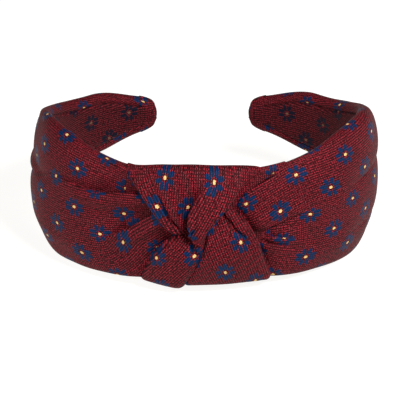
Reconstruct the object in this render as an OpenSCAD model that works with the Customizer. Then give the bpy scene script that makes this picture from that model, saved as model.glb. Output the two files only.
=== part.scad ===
// Knotted headband: a springy open hoop, wrapped in patterned fabric that is tied in a knot over the crown.
// It stands on its lower long edge, as it is stored: +Z up, knot towards -Y, open tips towards +Y,
// +X to the right of someone facing the knot. The origin is under the middle of the whole object.
// All soft pieces follow one line in plan, the hoop line. A place on the band is given as s, the length
// along that line from the middle of the crown, z, the height, and o, the distance outwards from the line.

/* [Hoop line] */
// Radius of the front arc, over the crown
front_r = 71; // [66:0.5:76]
// Angle from the middle of the crown to the end of the front arc, in degrees
front_deg = 58.4; // [54:0.2:62]
// Radius of the side arcs, round to the tips
side_r = 55.5; // [52:0.5:60]
// Angle of each side arc, in degrees
side_deg = 113; // [104:0.5:117]

/* [Band width] */
// Width of the band beside the knot
width_front = 51.6; // [46:0.2:56]
// Width where the fabric is fullest, at the sides
width_side = 62.6; // [58:0.2:66]
// Width on the way to the tips
width_back = 29; // [24:0.5:36]
// Width at the tips
width_tip = 15.5; // [13:0.5:20]
// Length along the line where the band is fullest
s_side = 78; // [72:1:84]
// Length along the line where the band has narrowed
s_back = 150; // [140:1:160]

/* [Layers] */
// Thickness of the plastic hoop
hoop_t = 1.6; // [1.2:0.1:1.8]
// Thickness of the outer fabric with its backing
cover_t = 0.9; // [0.7:0.1:1.1]
// Thickness of the lining
lining_t = 0.8; // [0.5:0.1:0.8]
// How far the padded sides stand out from the line
bulge_side = 7.3; // [6:0.1:8]
// How far the fabric wrapped behind the knot stands out
bulge_crown = 3.4; // [3.2:0.1:3.6]
// How far the side panels stand out where they meet the knot
bulge_panel = 5.2; // [5.1:0.1:5.6]
// How far the tips stand out
bulge_tip = 3; // [2.8:0.1:3.6]
// Radius of the rolled rims
rim_r = 2.2; // [2:0.1:2.4]

/* [Knot] */
// How far the knot stands out from the line
knot_out = 10.5; // [9:0.1:12]
// Sideways place of the pinch, where the strands cross
pinch_x = -6; // [-8:0.5:-4]
// Height of the pinch
pinch_z = 27; // [25:0.5:29]

/* [Flex] */
// Length along the line of each flex place, where an arm bends from the crown
s_flex = 88; // [84:1:92]
// Largest angle that an arm opens by, in degrees
open_deg = 25; // [10:1:28]
// Clear gap across each flex place
flex_gap = 0.8; // [0.6:0.1:1.2]

/* [Stitches] */
// Distance from one lining stitch to the next
stitch_pitch = 6; // [5:0.5:8]
// Length of one stitch
stitch_len = 2.6; // [2:0.1:3]
// Thickness of the thread
thread_t = 0.35; // [0.3:0.05:0.4]

/* [Hidden] */
$fn = 96;

burgundy = [0.52, 0.14, 0.18];
lining_red = [0.42, 0.10, 0.13];
knot_red = [0.60, 0.17, 0.21];

// The hoop line: the front arc, then a tighter side arc on each side
s_arc = front_r * front_deg * PI / 180;
s_tip = s_arc + side_r * side_deg * PI / 180;
side_cx = (front_r - side_r) * sin(front_deg);
front_to_side = front_r - (front_r - side_r) * cos(front_deg);
tip_deg = front_deg + side_deg;
back_reach = front_to_side - (side_r + bulge_tip) * cos(tip_deg);
line_y = (knot_out - back_reach) / 2;
front_cy = line_y + front_r;
side_cy = line_y + front_to_side;
mid_z = width_side / 2 - 0.4;

// Where pieces start and end along the line
s_hoop_end = s_tip - 1;
s_lining_end = s_tip - 11;
s_padding_end = s_tip - 20;
s_sleeve_left = -30;
s_sleeve_right = 34;
s_tongue = 14;
s_padding_start = 36;
s_flap_bend = s_tip - 5;
// Length of the step from the face alone to the full wrap, and the clear gap before the next piece
wrap_step = 1;
end_gap = 0.4;

// The wrapped section: the parts of its length that the crowned face and the rolled rim take, the number of
// steps on the face and past it, and the depth of the inner flange
face_share = 0.7;
roll_share = 0.15;
face_steps = 6;
rim_steps = 4;
flange = 8;
flange_spare = 1.5;
// Power of the cosine that shapes the crowned face: under 1 makes it fuller
fullness = 0.8;

// Gaps between layers, how far inside the rims each layer ends, and the spacing of sections
layer_gap = 0.2;
station = 4;
lining_o = rim_r + layer_gap;
hoop_inset = 3.6;
lining_inset = 4.6;
stitch_inset = 6;
stitch_gap = 0.05;
padding_o = 1;
padding_edge = 0.05;
padding_share = 0.98;
wrap_inset = 1;
// Extra angle that the cut faces at a flex place lean by, beyond the largest opening
spare_deg = 2;

// The knot: spare room under it, the slope of its edges, how far it is turned in under the rim, and the
// power that squares its outline
knot_gap = 0.3;
fold_in = -1.5;
rim_front = 1.2;
squareness = 4;
across = 8;

function heading(s) = s <= s_arc ? s / front_r * 180 / PI : front_deg + (s - s_arc) / side_r * 180 / PI;
function line_x(s, o) = s <= s_arc ? (front_r + o) * sin(heading(s))
                                 : side_cx + (side_r + o) * sin(heading(s));
function line_y_at(s, o) = s <= s_arc ? front_cy - (front_r + o) * cos(heading(s))
                                    : side_cy - (side_r + o) * cos(heading(s));
// A place on the band; s is negative on the left
function place(s, o, z) = [sign(s) * line_x(abs(s), o), line_y_at(abs(s), o), z];

function smooth(t) = let(u = min(1, max(0, t))) u * u * (3 - 2 * u);
function ramp(s, s0, s1, a, b) = a + (b - a) * smooth((s - s0) / (s1 - s0));
// Half of the band's width at s
function half_w(s) = s < s_side ? ramp(s, 22, s_side, width_front, width_side) / 2
                   : s < s_back ? ramp(s, s_side, s_back, width_side, width_back) / 2
                   : ramp(s, s_back, s_tip, width_back, width_tip) / 2;
// How far the fabric stands out at s: flat by the knot, full at the sides, thin at the tips
function bulge(s) = s < 100 ? ramp(s, s_sleeve_right, 64, bulge_panel, bulge_side)
                            : ramp(s, 100, s_tip, bulge_side, bulge_tip);
// The crowned outline of a layer: o at an angle f from the mid-height, which is 0 at the rims
function crowned(b, f) = b * pow(max(0, cos(f)), fullness);
function layer_o(b, z, h) = crowned(b, asin(min(1, max(-1, (z - mid_z) / h))));

roll_end = face_share + roll_share;
// One point of the wrapped fabric's section at u: the crowned face, the rolled rim, then the inner flange.
// w is how far the point lies inside the outer surface.
function wrap_half(u, h, b, w) =
    u <= face_share ? let(f = 90 * u / face_share) [crowned(b - w, f), (h - w) * sin(f)]
    : u <= roll_end ? let(f = 90 * (u - face_share) / roll_share)
                      [-(rim_r - w) * sin(f), h - rim_r + (rim_r - w) * cos(f)]
    : [-(rim_r - w), h - rim_r - (min(flange, h - flange_spare) - rim_r) * (u - roll_end) / (1 - roll_end)];
function wrap_point(t, h, b, w) = let(p = wrap_half(abs(t), h, b, w))
    [p[0], max(0, mid_z + sign(t) * p[1])];
function wrap_step_at(k) = k <= face_steps ? k * face_share / face_steps
                         : face_share + (k - face_steps) * (1 - face_share) / rim_steps;
wrap_steps = [for (k = [-face_steps - rim_steps:face_steps + rim_steps]) sign(k) * wrap_step_at(abs(k))];
// t_max trims the section: 1 is the full wrap, 0.5 only its face
function wrap_section(h, b, t_max) = concat(
    [for (t = wrap_steps) wrap_point(t * t_max, h, b, 0)],
    [for (k = [len(wrap_steps) - 1:-1:0]) wrap_point(wrap_steps[k] * t_max, h, b, cover_t)]);
function padding_section(h, b) = let(g = cover_t + layer_gap, f_list = [-80:16:80]) concat(
    [for (f = f_list) [max(padding_o + padding_edge, crowned(b - g, f)),
                       mid_z + (h - g) * sin(f) * padding_share]],
    [for (f = f_list) [padding_o, mid_z - (h - g) * sin(f) * padding_share]]);

function stations(s0, s1) = let(n = max(2, ceil((s1 - s0) / station)))
    [for (i = [0:n]) s0 + (s1 - s0) * i / n];
// Slant of a cut face at a flex place: it leans away from the flex axis outside the line
function slanted(s, s_cut, lean, o) = s == s_cut ? s + lean * max(0, o) : s;

// A closed solid through a row of loops. Each loop lists the points of its outer side, then as many points
// of its inner side on the way back.
module skin(loops) {
    n = len(loops[0]);
    last = len(loops) - 1;
    walls = [for (i = [0:last - 1]) for (k = [0:n - 1])
             let(a = i * n + k, b = i * n + (k + 1) % n) [a, b, b + n, a + n]];
    first_end = [for (k = [0:n / 2 - 2]) [n - 1 - k, n - 2 - k, k + 1, k]];
    last_end = [for (k = [0:n / 2 - 2]) [for (p = [k, k + 1, n - 2 - k, n - 1 - k]) last * n + p]];
    polyhedron([for (l = loops) each l], concat(walls, first_end, last_end));
}

// A solid through a row of sections on the right side, each a list of [o, z] points
module loft(s_list, sections, s_cut = -1, lean = 0) {
    skin([for (i = [0:len(s_list) - 1])
          [for (p = sections[i]) place(slanted(s_list[i], s_cut, lean, p[0]), p[0], p[1])]]);
}

// What follows is made for the right side, and mirrored for the left
module on_side(left) {
    mirror([left ? 1 : 0, 0, 0]) children();
}

lean = tan((open_deg + spare_deg) / 2);
s_crown_end = s_flex - flex_gap / 2;
s_arm_start = s_flex + flex_gap / 2;

module cover_crown(s_in) {
    s_list = concat([s_tongue, (s_tongue + s_in) / 2, s_in - wrap_step],
                    stations(s_in + end_gap, s_crown_end));
    loft(s_list,
         [for (s = s_list) wrap_section(half_w(s), bulge(s), s < s_in ? 0.5 : 1)],
         s_crown_end, -lean);
}

module cover_arm() {
    s_list = stations(s_arm_start, s_tip);
    loft(s_list, [for (s = s_list) wrap_section(half_w(s), bulge(s), 1)], s_arm_start, lean);
}

module padding_crown() {
    s_list = stations(s_padding_start, s_crown_end);
    loft(s_list, [for (s = s_list) padding_section(half_w(s), bulge(s))], s_crown_end, -lean);
}

module padding_arm() {
    s_list = stations(s_arm_start, s_padding_end);
    loft(s_list, [for (s = s_list) padding_section(half_w(s), bulge(s))], s_arm_start, lean);
}

// A wall that follows one side arc, from s0 to s1
module side_wall(s0, s1, o0, o1) {
    translate([side_cx, side_cy, 0]) rotate([0, 0, heading(s0) - 90])
        rotate_extrude(angle = heading(s1) - heading(s0))
            translate([side_r + o0, 0]) square([o1 - o0, width_side]);
}

// A wall that follows the front arc and both side arcs as far as s1
module crown_wall(s1, o0, o1) {
    translate([0, front_cy, 0]) rotate([0, 0, -90 - front_deg])
        rotate_extrude(angle = 2 * front_deg)
            translate([front_r + o0, 0]) square([o1 - o0, width_side]);
    for (m = [0, 1]) mirror([m, 0, 0]) side_wall(s_arc, s1, o0, o1);
}

// The band's side view, inset from the rims, as a bar across X that the walls are cut to
module side_view(inset) {
    s_list = stations(0, s_tip);
    y_front = line_y - knot_out;
    outline = concat(
        [for (s = s_list) [line_y_at(s, -hoop_t), mid_z + half_w(s) - inset]],
        [for (k = [len(s_list) - 1:-1:0]) let(s = s_list[k])
         [line_y_at(s, -hoop_t), mid_z - half_w(s) + inset]]);
    front = [[y_front, mid_z - half_w(0) + inset], [y_front, mid_z + half_w(0) - inset]];
    rotate([90, 0, 90]) linear_extrude(height = 4 * side_r, center = true) polygon(concat(outline, front));
}

module hoop_arm() {
    intersection() {
        side_wall(s_arm_start, s_hoop_end, -hoop_t / 2, hoop_t / 2);
        side_view(hoop_inset);
    }
}

module lining_arm() {
    intersection() {
        side_wall(s_arm_start, s_lining_end, -lining_o - lining_t, -lining_o);
        side_view(lining_inset);
    }
}

// The folded end of the cover: a cap across the tip and a flap tucked in behind it
module tip_wrap() {
    s_cap = [s_tip + layer_gap, s_tip + layer_gap + cover_t];
    s_flap = [s_lining_end + end_gap, s_flap_bend, s_cap[1]];
    h = half_w(s_tip);
    o_in = -lining_o - lining_t;
    f_list = [-90:15:90];
    cap = concat([for (f = f_list) [crowned(bulge_tip, f), mid_z + h * sin(f)]],
                 [for (f = f_list) [o_in, mid_z - (h - wrap_inset) * sin(f)]]);
    low = mid_z - h + wrap_inset;
    high = mid_z + h - wrap_inset;
    flap = [[-lining_o, low], [-lining_o, high], [o_in, high], [o_in, low]];
    loft(s_cap, [for (s = s_cap) cap]);
    loft(s_flap, [for (s = s_flap) flap]);
}

// Short stitches along both long edges of the lining
module stitches(s0, s1) {
    n = floor((s1 - s0) / stitch_pitch);
    o = -lining_o - lining_t - thread_t / 2 - stitch_gap;
    for (i = [0:n - 1]) {
        s = s0 + (i + 0.5) * stitch_pitch;
        for (up = [-1, 1])
            translate(place(s, o, mid_z + up * (half_w(s) - stitch_inset)))
                rotate([0, 0, heading(s)])
                    cube([stitch_len, thread_t, thread_t], center = true);
    }
}

// A fold of fabric laid on the crown, from rows of [z, s at its left, s at its right, o inside, o outside]
module laid_fold(rows) {
    skin([for (r = rows) concat(
        [for (k = [0:across]) let(e = 1 - pow(abs(2 * k / across - 1), squareness), o_edge = r[3] + knot_gap)
         place(r[1] + (r[2] - r[1]) * k / across, o_edge + (r[4] - o_edge) * sqrt(e), r[0])],
        [for (k = [across:-1:0]) place(r[1] + (r[2] - r[1]) * k / across, r[3], r[0])])]);
}
// The surface that the knot lies on
function under_knot(z) = layer_o(bulge_panel + knot_gap, z, half_w(0) + knot_gap) + layer_gap;
rim_z = mid_z - half_w(0);

module hoop_crown() {
    color("gainsboro") intersection() {
        crown_wall(s_crown_end, -hoop_t / 2, hoop_t / 2);
        side_view(hoop_inset);
    }
}

module hoop_left_arm() {
    color("gainsboro") on_side(true) hoop_arm();
}

module hoop_right_arm() {
    color("gainsboro") on_side(false) hoop_arm();
}

module lining_crown() {
    color(lining_red) intersection() {
        crown_wall(s_crown_end, -lining_o - lining_t, -lining_o);
        side_view(lining_inset);
    }
}

module lining_left_arm() {
    color(lining_red) on_side(true) lining_arm();
}

module lining_right_arm() {
    color(lining_red) on_side(false) lining_arm();
}

module padding_left_crown() {
    color("ivory") on_side(true) padding_crown();
}

module padding_right_crown() {
    color("ivory") on_side(false) padding_crown();
}

module padding_left_arm() {
    color("ivory") on_side(true) padding_arm();
}

module padding_right_arm() {
    color("ivory") on_side(false) padding_arm();
}

module cover_left_crown() {
    color(burgundy) on_side(true) cover_crown(-s_sleeve_left);
}

module cover_right_crown() {
    color(burgundy) on_side(false) cover_crown(s_sleeve_right);
}

module cover_left_arm() {
    color(burgundy) on_side(true) cover_arm();
}

module cover_right_arm() {
    color(burgundy) on_side(false) cover_arm();
}

// The layer of fabric wrapped straight round the hoop behind the knot
module crown_sleeve() {
    s_list = [s_sleeve_left:4:s_sleeve_right];
    color(burgundy)
        skin([for (s = s_list) [for (p = wrap_section(half_w(0), bulge_crown, 1)) place(s, p[0], p[1])]]);
}

// The strand that fans down from the top rim to the pinch, and opens again into the lower left lobe
module knot_over_strand() {
    color(knot_red) laid_fold([
        [0, -30, -10, fold_in, 4],
        [3, -32, -9.5, fold_in, 7],
        [rim_z - 0.7, -32, -9.2, fold_in, 8],
        [rim_z - 0.4, -32, -9, rim_front, 8.2],
        [rim_z + 1.2, -31, -8.6, under_knot(rim_z + 1.2), 8.6],
        [14, -25, -7.3, under_knot(14), knot_out - 1],
        [22, -18, -5, under_knot(22), knot_out],
        [pinch_z, pinch_x - 6, pinch_x + 4, under_knot(pinch_z), knot_out],
        [33, -20, 4.5, under_knot(33), knot_out - 1],
        [40, -24.5, 9.5, under_knot(40), knot_out - 2.2],
        [48, -29.5, 17, under_knot(48), knot_out - 4],
        [53, -32, 21, under_knot(53), 4.8],
        [mid_z + half_w(0) - 0.6, -33, 24, 1.8, 2.6]]);
}

// The strand that comes from under the fan and opens into the lower right lobe
module knot_under_strand() {
    color(knot_red) laid_fold([
        [0, -8, 24, fold_in, 4],
        [3, -8.6, 26, fold_in, 7],
        [rim_z - 0.7, -8.3, 26.4, fold_in, 8],
        [rim_z - 0.4, -8.2, 26.4, rim_front, 8.2],
        [rim_z + 1.2, -7.8, 26.4, under_knot(rim_z + 1.2), 8.6],
        [14, -6.5, 25.6, under_knot(14), knot_out - 1],
        [22, -1.8, 23.2, under_knot(22), knot_out - 1],
        [26.5, 0.2, 21.5, under_knot(26.5), knot_out - 2],
        [33, 5.8, 18, under_knot(33), knot_out - 3],
        [40, 11, 12.8, under_knot(40), knot_out - 4.5]]);
}

module tip_wrap_left() {
    color(burgundy) on_side(true) tip_wrap();
}

module tip_wrap_right() {
    color(burgundy) on_side(false) tip_wrap();
}

module lining_stitches_crown() {
    color(lining_red) for (left = [true, false]) on_side(left) stitches(0, s_crown_end - 1);
}

module lining_stitches_left_arm() {
    color(lining_red) on_side(true) stitches(s_arm_start + 1, s_lining_end - 1);
}

module lining_stitches_right_arm() {
    color(lining_red) on_side(false) stitches(s_arm_start + 1, s_lining_end - 1);
}

hoop_crown();
hoop_left_arm();
hoop_right_arm();
lining_crown();
lining_left_arm();
lining_right_arm();
padding_left_crown();
padding_right_crown();
padding_left_arm();
padding_right_arm();
cover_left_crown();
cover_right_crown();
cover_left_arm();
cover_right_arm();
crown_sleeve();
knot_over_strand();
knot_under_strand();
tip_wrap_left();
tip_wrap_right();
lining_stitches_crown();
lining_stitches_left_arm();
lining_stitches_right_arm();
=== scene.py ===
"""The looks of the knotted headband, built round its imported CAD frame."""

import math

import bpy
import numpy as np
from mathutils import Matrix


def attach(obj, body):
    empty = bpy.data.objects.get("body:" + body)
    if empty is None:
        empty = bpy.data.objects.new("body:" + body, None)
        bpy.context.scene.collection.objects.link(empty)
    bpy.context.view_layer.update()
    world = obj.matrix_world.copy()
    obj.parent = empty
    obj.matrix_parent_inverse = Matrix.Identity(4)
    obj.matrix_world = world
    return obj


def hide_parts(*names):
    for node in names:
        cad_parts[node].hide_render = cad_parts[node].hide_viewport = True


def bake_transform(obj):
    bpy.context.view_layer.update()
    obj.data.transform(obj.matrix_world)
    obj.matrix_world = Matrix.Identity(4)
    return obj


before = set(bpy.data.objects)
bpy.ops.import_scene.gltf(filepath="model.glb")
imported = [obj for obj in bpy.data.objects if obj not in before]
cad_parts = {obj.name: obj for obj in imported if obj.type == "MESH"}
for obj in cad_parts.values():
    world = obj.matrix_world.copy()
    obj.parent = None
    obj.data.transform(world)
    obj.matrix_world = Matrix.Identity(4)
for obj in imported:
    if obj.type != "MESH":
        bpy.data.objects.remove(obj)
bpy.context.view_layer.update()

# ---------------------------------------------------------------- the hoop line, in millimetres
# The same line as in part.scad: a front arc, then a tighter side arc on each side.
# A place on the band is s, the length along the line from the middle of the crown (negative on the left),
# z, the height, and o, the distance outwards from the line.
MM = 0.001
FRONT_R = 71.0
FRONT_END = math.radians(58.4)
SIDE_R = 55.5
SIDE_TURN = math.radians(113.0)
KNOT_OUT = 10.5
WIDTH_FRONT = 51.6
WIDTH_SIDE = 62.6
WIDTH_BACK = 29.0
WIDTH_TIP = 15.5
S_WIDENS = 22.0
S_SIDE = 78.0
S_BACK = 150.0
S_FLEX = 88.0

# The crown height of the face: behind the knot, then the panels beside the knot, at the sides and at the tips
BULGE_CROWN = 3.4
BULGE_PANEL = 5.2
BULGE_SIDE = 7.3
BULGE_TIP = 3.0
S_KNOT_SIDE = 34.0
S_FULL = 64.0
S_THINS = 100.0

# The corners of the arm's end are round: their length along the band, and the share of the width at the end
TIP_CORNER = 8.0
TIP_SHARE = 0.45

S_ARC = FRONT_R * FRONT_END
S_TIP = S_ARC + SIDE_R * SIDE_TURN
SIDE_CX = (FRONT_R - SIDE_R) * math.sin(FRONT_END)
FRONT_TO_SIDE = FRONT_R - (FRONT_R - SIDE_R) * math.cos(FRONT_END)
BACK_REACH = FRONT_TO_SIDE - (SIDE_R + BULGE_TIP) * math.cos(FRONT_END + SIDE_TURN)
LINE_Y = (KNOT_OUT - BACK_REACH) / 2
MID_Z = WIDTH_SIDE / 2 - 0.4


def smooth(t):
    """0 below 0, 1 above 1, and a smooth step between them."""
    t = np.clip(t, 0.0, 1.0)
    return t * t * (3 - 2 * t)


def ramp(x, x0, x1, a, b):
    """a up to x0, b from x1 on, and a smooth change between them."""
    return a + (b - a) * smooth((x - x0) / (x1 - x0))


def place(s, o, z):
    """Row-frame point, in millimetres, of arrays s, o and z."""
    s, o, z = np.broadcast_arrays(np.asarray(s, float), np.asarray(o, float), np.asarray(z, float))
    a = np.abs(s)
    front = a <= S_ARC
    turn = np.where(front, a / FRONT_R, FRONT_END + (a - S_ARC) / SIDE_R)
    radius = np.where(front, FRONT_R, SIDE_R) + o
    x = np.where(front, 0.0, SIDE_CX) + radius * np.sin(turn)
    y = LINE_Y + np.where(front, FRONT_R, FRONT_TO_SIDE) - radius * np.cos(turn)
    return np.stack([np.sign(s) * x, y, z], -1)


def half_width(s):
    """Half the band's width, without the round corners at the tips."""
    a = np.abs(s)
    front = ramp(a, S_WIDENS, S_SIDE, WIDTH_FRONT, WIDTH_SIDE)
    back = ramp(a, S_SIDE, S_BACK, WIDTH_SIDE, WIDTH_BACK)
    tip = ramp(a, S_BACK, S_TIP, WIDTH_BACK, WIDTH_TIP)
    return np.where(a < S_SIDE, front, np.where(a < S_BACK, back, tip)) / 2


def tip_round(s):
    """The share of the width that the round corners at the tip leave."""
    x = np.clip((np.abs(s) - (S_TIP - TIP_CORNER)) / TIP_CORNER, 0, 1)
    return TIP_SHARE + (1 - TIP_SHARE) * np.sqrt(1 - x ** 2)


def bulge_panel(s):
    a = np.abs(s)
    near = ramp(a, S_KNOT_SIDE, S_FULL, BULGE_PANEL, BULGE_SIDE)
    far = ramp(a, S_THINS, S_TIP, BULGE_SIDE, BULGE_TIP)
    return np.where(a < S_THINS, near, far)


def bulge_crown(s):
    return np.full(np.shape(s), BULGE_CROWN)


# ---------------------------------------------------------------- the band's section
# w is the length across the fabric from the band's mid-height: up the crowned face, over the rolled rim and
# down the inner flange, which sinks into a groove beside the lining. Tables give o and z for any s and w.
RIM_R = 2.8
FLANGE = 8.0
FLANGE_SPARE = 1.5
GROOVE = 1.5
GROOVE_RATE = 1.6
FULLNESS = 0.8
FACE_SHARE = 0.7
ROLL_SHARE = 0.18
OUTLINE_POINTS = 400
# The tables' steps, how far they go past the tip and across the fabric, and the step for the normals
S_STEP = 1.0
W_STEP = 0.25
S_SPARE = 6.0
W_REACH = 48.0
NORMAL_STEP = 0.4


class Section:
    """The wrapped fabric's section along the band, for one crown height."""

    def __init__(self, bulge):
        self.s = np.arange(0, S_TIP + S_SPARE, S_STEP)
        self.w = np.arange(0, W_REACH, W_STEP)
        on_arm = np.minimum(self.s, S_TIP)
        h = half_width(on_arm) * tip_round(on_arm)
        b = bulge(on_arm)
        u = np.linspace(0, 1, OUTLINE_POINTS)
        self.o = np.zeros((len(self.s), len(self.w)))
        self.z = np.zeros_like(self.o)
        self.rim_w = np.zeros(len(self.s))
        self.end_w = np.zeros(len(self.s))
        for i in range(len(self.s)):
            o, z = self.outline(u, h[i], b[i])
            run = np.concatenate([[0], np.cumsum(np.hypot(np.diff(o), np.diff(z)))])
            self.o[i] = np.interp(self.w, run, o)
            self.z[i] = np.interp(self.w, run, z)
            self.rim_w[i] = np.interp(FACE_SHARE, u, run)
            self.end_w[i] = run[-1]

    @staticmethod
    def outline(u, h, b):
        """o and z at shares u of the outline, for half the width h and the crown height b."""
        face = np.radians(90) * np.clip(u / FACE_SHARE, 0, 1)
        roll = np.radians(90) * np.clip((u - FACE_SHARE) / ROLL_SHARE, 0, 1)
        run = np.clip((u - FACE_SHARE - ROLL_SHARE) / (1 - FACE_SHARE - ROLL_SHARE), 0, 1)
        flange = min(FLANGE, h - FLANGE_SPARE) - RIM_R
        inner_o = -RIM_R * np.sin(roll) + GROOVE * smooth(run * GROOVE_RATE)
        inner_z = h - RIM_R + RIM_R * np.cos(roll) - flange * run
        o = np.where(u <= FACE_SHARE, b * np.cos(face) ** FULLNESS, inner_o)
        z = np.where(u <= FACE_SHARE, h * np.sin(face), inner_z)
        return o, z

    def _sample(self, table, s, w):
        """The table's value at s, w, blended between its four nearest entries."""
        fs = np.clip(np.abs(s) / S_STEP, 0, len(self.s) - 1.001)
        fw = np.clip(np.abs(w) / W_STEP, 0, len(self.w) - 1.001)
        i, j = fs.astype(int), fw.astype(int)
        a, b = fs - i, fw - j
        low = table[i, j] * (1 - a) + table[i + 1, j] * a
        high = table[i, j + 1] * (1 - a) + table[i + 1, j + 1] * a
        return low * (1 - b) + high * b

    def at(self, s, w, d=0.0):
        """o and z at a distance d outside the section."""
        s, w, d = np.broadcast_arrays(np.asarray(s, float), np.asarray(w, float), np.asarray(d, float))
        side = np.where(w < 0, -1.0, 1.0)
        o, z = self._sample(self.o, s, w), self._sample(self.z, s, w)
        back, ahead = np.abs(w) - NORMAL_STEP, np.abs(w) + NORMAL_STEP
        o1, o0 = self._sample(self.o, s, ahead), self._sample(self.o, s, back)
        z1, z0 = self._sample(self.z, s, ahead), self._sample(self.z, s, back) * np.sign(back)
        along = np.maximum(np.hypot(o1 - o0, z1 - z0), 1e-9)
        o = o + d * (z1 - z0) / along
        z = z - d * (o1 - o0) / along
        return o, MID_Z + side * z

    def w_of(self, s, z):
        """w of the face at height z."""
        s, z = np.broadcast_arrays(np.asarray(s, float), np.asarray(z, float))
        rise = np.abs(z - MID_Z)
        i = np.clip(np.round(np.abs(s) / S_STEP).astype(int), 0, len(self.s) - 1)
        w = np.zeros(s.shape)
        for k in np.unique(i):
            face = self.w <= self.rim_w[k]
            w[i == k] = np.interp(rise[i == k], self.z[k][face], self.w[face])
        return w * np.sign(z - MID_Z)

    def rim(self, s):
        """w where the face turns into the rolled rim."""
        return np.interp(np.abs(s), self.s, self.rim_w)

    def end(self, s):
        """w at the inner edge of the flange."""
        return np.interp(np.abs(s), self.s, self.end_w)


PANEL = Section(bulge_panel)
SLEEVE = Section(bulge_crown)


# ---------------------------------------------------------------- folds
def curve(points, count=80):
    """A smooth line through the points: a Catmull-Rom spline, as count points."""
    p = np.array(points, float)
    ends = np.vstack([2 * p[0] - p[1], p, 2 * p[-1] - p[-2]])
    t = np.linspace(0, len(p) - 1 - 1e-6, count)
    k = t.astype(int)
    f = (t - k)[:, None]
    a, b, c, d = ends[k], ends[k + 1], ends[k + 2], ends[k + 3]
    square = (2 * a - 5 * b + 4 * c - d) * f ** 2
    cube = (3 * b - a - 3 * c + d) * f ** 3
    return 0.5 * (2 * b + (c - a) * f + square + cube)


def near_line(s, z, points):
    """Signed distance to the line, positive on its left, how far along it the nearest point is, 0 to 1, and
    the unit vector to the left there."""
    line = curve(points)
    start, step = line[:-1], np.diff(line, axis=0)
    best = np.full(s.shape, 1e9)
    along = np.zeros(s.shape)
    side = np.ones(s.shape)
    left_s, left_z = np.zeros(s.shape), np.ones(s.shape)
    for k in range(len(start)):
        ds, dz = s - start[k, 0], z - start[k, 1]
        length2 = step[k, 0] ** 2 + step[k, 1] ** 2 + 1e-12
        f = np.clip((ds * step[k, 0] + dz * step[k, 1]) / length2, 0, 1)
        gap = np.hypot(ds - f * step[k, 0], dz - f * step[k, 1])
        closer = gap < best
        best = np.where(closer, gap, best)
        along = np.where(closer, (k + f) / len(start), along)
        side = np.where(closer, np.where(step[k, 0] * dz - step[k, 1] * ds < 0, -1.0, 1.0), side)
        left_s = np.where(closer, -step[k, 1] / math.sqrt(length2), left_s)
        left_z = np.where(closer, step[k, 0] / math.sqrt(length2), left_z)
    return best * side, along, left_s, left_z


# The middle of a fold's ridge, in ridge widths from the fold
RIDGE_AT = 1.3
# How far a fold's lap moves the cloth, by the distance from the fold in millimetres: the low side is drawn in
# under the edge, dying out over LAP_UNDER, and past LAP_EDGE the high side leans out over it
LAP_UNDER = 1.2
LAP_EDGE = 0.35
LEAN = 1.1
LEAN_AT = 1.0
LEAN_WIDTH = 0.8
LEAN_START = 0.6


class Crease:
    """A fold in the cloth. Its points run from where it is tight to where it dies out.

    The cloth is lowered by depth at the fold. It comes up again over the length sharp on the high side and
    over the length soft on the other side. A ridge stands along the high side, and it laps over the low side.
    The fold dies out along its length between the two shares of fade, and comes up over the share rise.
    dart gives the angles, in degrees, of the wedges of cloth that it hides from its left and its right side.
    slip is how far the print on its high side has moved along and across. It is full up to halfway along,
    and dies out over the length reach away from the fold."""

    def __init__(self, points, depth, soft, high="left", sharp=0.4, ridge=0.0, ridge_w=1.6, fade=(0.5, 1.0),
                 rise=0.0, dart=(0.0, 0.0), slip=(0.0, 0.0), reach=1000.0, lap=0.0):
        self.points = points
        self.depth = depth
        self.left, self.right = (sharp, soft) if high == "left" else (soft, sharp)
        self.high = 1.0 if high == "left" else -1.0
        self.ridge, self.ridge_w = ridge, ridge_w
        self.fade, self.rise = fade, rise
        self.dart, self.slip, self.reach, self.lap = dart, slip, reach, lap

    def press(self, s, z):
        """How much it lowers the cloth, how far it moves the print, along and across, and how far it moves
        the cloth itself sideways, so that the high side laps over the low one."""
        d, t, left_s, left_z = near_line(s, z, self.points)
        strength = 1 - smooth((t - self.fade[0]) / (self.fade[1] - self.fade[0]))
        if self.rise > 0:
            strength = strength * smooth(t / self.rise)
        drop = self.depth * np.exp(-np.abs(d) / np.where(d >= 0, self.left, self.right))
        up = d * self.high
        x = up - RIDGE_AT * self.ridge_w
        drop = strength * (drop - self.ridge * np.exp(-(x / self.ridge_w) ** 2))
        lean = LEAN * np.exp(-((up - LEAN_AT) / LEAN_WIDTH) ** 2) * smooth(up / LEAN_START)
        moved = np.where(up < 0, np.exp(up / LAP_UNDER), np.exp(-up / LAP_EDGE) - lean)
        lap = strength * self.lap * moved * self.high
        end = np.array(self.points[-1], float)
        back = np.array(self.points[0], float) - end
        rs, rz = s - end[0], z - end[1]
        angle = np.arctan2(back[0] * rz - back[1] * rs, back[0] * rs + back[1] * rz)
        side = np.where(d >= 0, 1.0, -1.0)
        away = -side * angle
        away = np.where(away < -math.pi / 2, away + 2 * math.pi, away)
        share = np.where(side > 0, self.dart[0], self.dart[1])
        turn = -side * np.radians(share) * (1 - away / math.pi)
        slipped = np.where(up > 0, (1 - smooth(2 * t - 1)) * np.exp(-np.abs(d) / self.reach), 0.0)
        ds = rs * (np.cos(turn) - 1) - rz * np.sin(turn) + self.slip[0] * slipped
        dz = rs * np.sin(turn) + rz * (np.cos(turn) - 1) + self.slip[1] * slipped
        move_s, move_z = lap * left_s, lap * left_z
        return np.stack([drop, ds + move_s, dz + move_z, move_s, move_z])


def press_all(creases, s, z):
    """The sums of what the creases do at s, z, in the order of Crease.press."""
    return sum(crease.press(s, z) for crease in creases)


# The pitches of the waves, as shares of their size
SHORTEST = 0.6
LONGEST = 1.8


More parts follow.
